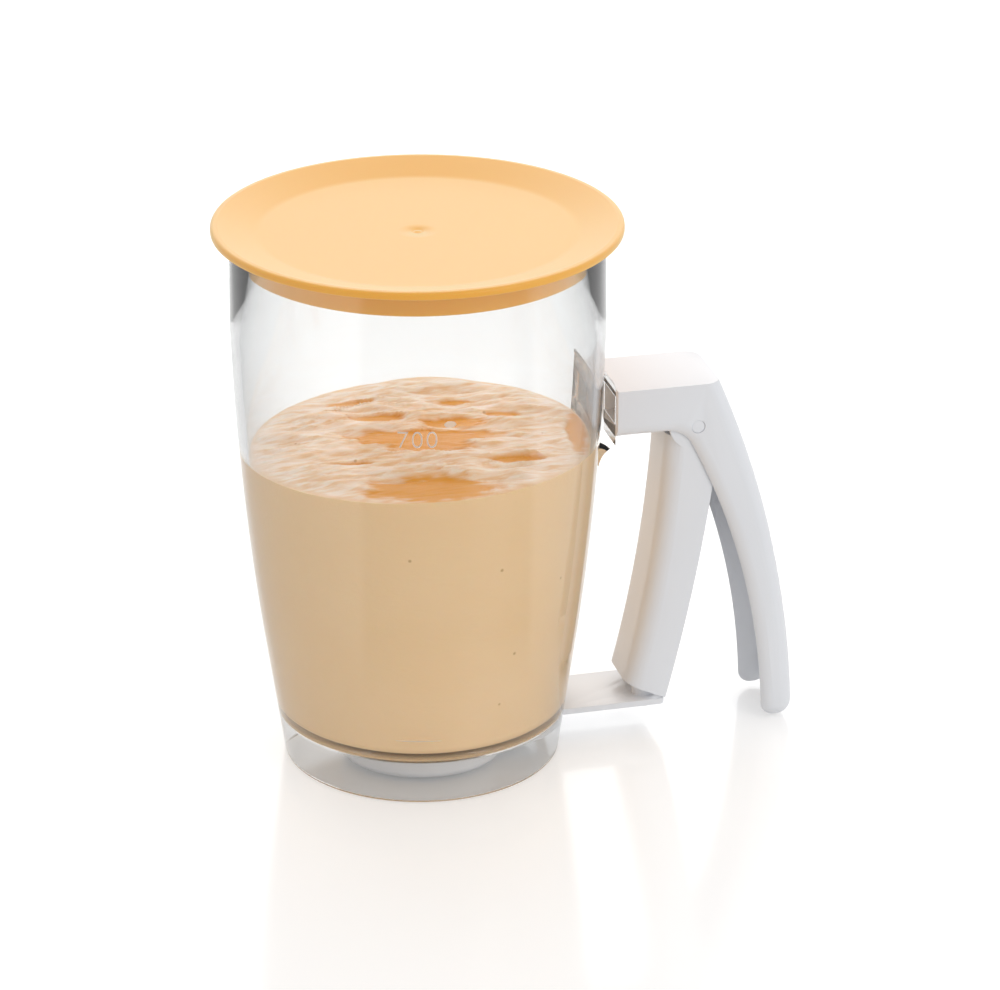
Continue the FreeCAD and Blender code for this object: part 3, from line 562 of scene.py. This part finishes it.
# Handle, trigger, lever arm, drip cup and pivot pin
# All moulded in white ABS. Their CAD shapes are kept, with the sharp mould edges broken by a small round and
# the curved walls shaded smooth. The arm hangs from the trigger and carries the cup under the outlet.
# Neutral white with a satin skin: broad soft highlights, and a faint etch that keeps flat faces from mirroring.
white_abs, out = new_material("satin_white_abs")
tree = white_abs.node_tree
place = add_node(tree, "ShaderNodeTexCoord").outputs["Object"]
cloud = add_node(tree, "ShaderNodeTexNoise", {"Vector": place, "Scale": 22, "Detail": 2})
tone = add_node(tree, "ShaderNodeMix", {
    "Factor": cloud.outputs["Fac"], 6: linear("#E6E8EC"), 7: linear("#EBEDF1"),
}, data_type="RGBA")
etch = add_node(tree, "ShaderNodeTexNoise", {"Vector": place, "Scale": 2200, "Detail": 2})
relief = add_node(tree, "ShaderNodeBump", {"Height": etch.outputs["Fac"], "Strength": 0.1, "Distance": 0.00006})
shader = add_node(tree, "ShaderNodeBsdfPrincipled", {
    "Base Color": tone.outputs[2], "Roughness": 0.3, "IOR": 1.53, "Normal": relief.outputs[0],
})
tree.links.new(shader.outputs[0], out.inputs[0])


def softened(node, name, edge, material):
    """A merged copy of a CAD node with its edges rounded by so many mm and its faces shaded smooth."""
    shape = bmesh.new()
    shape.from_mesh(nodes[node].data)
    bmesh.ops.remove_doubles(shape, verts=shape.verts, dist=2e-6)
    bmesh.ops.dissolve_limit(shape, angle_limit=math.radians(0.4), verts=shape.verts, edges=shape.edges)
    mesh = bpy.data.meshes.new(name)
    shape.to_mesh(mesh)
    shape.free()
    mesh.materials.append(material)
    mesh.shade_smooth()
    piece = bpy.data.objects.new(name, mesh)
    bpy.context.scene.collection.objects.link(piece)
    round_off = piece.modifiers.new("round_off", "BEVEL")
    round_off.width = edge / 1000
    round_off.segments = 3
    round_off.limit_method = "ANGLE"
    round_off.angle_limit = math.radians(40)
    round_off.use_clamp_overlap = True
    round_off.harden_normals = True
    bake_modifiers(piece)
    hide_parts(node)
    return piece


for node, name, edge, body in (
    ("handle_frame", "handle_bow", 1.0, "root"),
    ("trigger", "squeeze_trigger", 0.5, "lever"),
    ("valve_arm", "lever_arm", 0.4, "lever"),
    ("drip_cup", "cup_below_outlet", 0.35, "lever"),
    ("pivot_pin", "pivot", 0.25, "root"),
):
    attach(softened(node, name, edge, white_abs), body)


# Outlet seal
# A soft disc of translucent silicone that the spring presses up against the collar, its stem pushed into the
# arm's pedestal. Moulded, with a dull skin.
# Cloudy off-white that lets light a little way in, with no sharp highlights.
silicone, out = new_material("translucent_silicone")
tree = silicone.node_tree
place = add_node(tree, "ShaderNodeTexCoord").outputs["Object"]
cloud = add_node(tree, "ShaderNodeTexNoise", {"Vector": place, "Scale": 120, "Detail": 2})
tone = add_node(tree, "ShaderNodeMix", {
    "Factor": cloud.outputs["Fac"], 6: linear("#DCDCD6"), 7: linear("#E8E8E3"),
}, data_type="RGBA")
shader = add_node(tree, "ShaderNodeBsdfPrincipled", {
    "Base Color": tone.outputs[2], "Roughness": 0.48, "IOR": 1.41, "Subsurface Weight": 0.6,
    "Subsurface Radius": (1, 1, 1), "Subsurface Scale": 0.002,
})
tree.links.new(shader.outputs[0], out.inputs[0])
nodes["valve_seal"].data.materials.clear()
nodes["valve_seal"].data.materials.append(silicone)


# Screws and return spring
# Two pan head screws hold the tongue in the handle and two hold the arm to the trigger's posts. The torsion
# spring is coiled round the pivot pin. All stainless steel, drawn and tumbled bright.
# Bright warm grey metal; the fine uneven gloss left by drawing and tumbling breaks up its reflections.
bright_steel, out = new_material("drawn_stainless_steel")
tree = bright_steel.node_tree
place = add_node(tree, "ShaderNodeTexCoord").outputs["Object"]
drawn = add_node(tree, "ShaderNodeTexNoise", {"Vector": place, "Scale": 1500, "Detail": 3})
rough = add_node(tree, "ShaderNodeMapRange", {"Value": drawn.outputs["Fac"], "To Min": 0.18, "To Max": 0.38})
shader = add_node(tree, "ShaderNodeBsdfPrincipled", {
    "Base Color": linear("#C4C3C0"), "Metallic": 1.0, "Roughness": rough.outputs[0],
})
tree.links.new(shader.outputs[0], out.inputs[0])
for name in ("handle_screws", "lever_screws", "return_spring"):
    nodes[name].data.materials.clear()
    nodes[name].data.materials.append(bright_steel)
